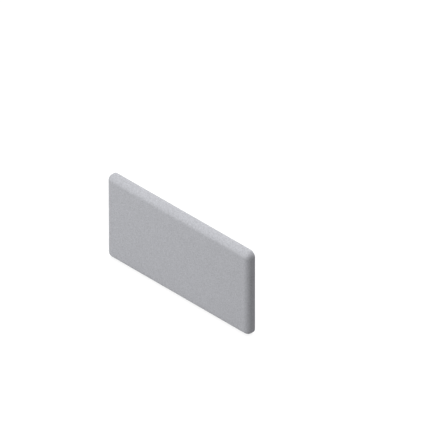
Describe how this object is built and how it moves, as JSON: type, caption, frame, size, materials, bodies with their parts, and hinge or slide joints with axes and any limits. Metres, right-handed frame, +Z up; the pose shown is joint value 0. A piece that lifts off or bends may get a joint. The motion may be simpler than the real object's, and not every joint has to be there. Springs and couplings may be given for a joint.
{
  "type": "profile end cap",
  "caption": "Flat rectangular cover with a rounded front edge and split press-in pegs on its back, which closes the sawn end of an aluminium framing profile.",
  "frame": {"origin": "centre of the seat, the flat back plane of the rim that lies on the profile's sawn end", "axes": "+X along the long side, +Y out of the back and into the profile, +Z up the short side; the show face looks along -Y"},
  "size_m": [0.09, 0.0165, 0.045],
  "materials": {
    "grey_nylon": "light grey moulded nylon, matt, with a fine even grain on the show faces"
  },
  "bodies": {
    "root": {"end_cap": "grey_nylon"}
  },
  "joints": []
}
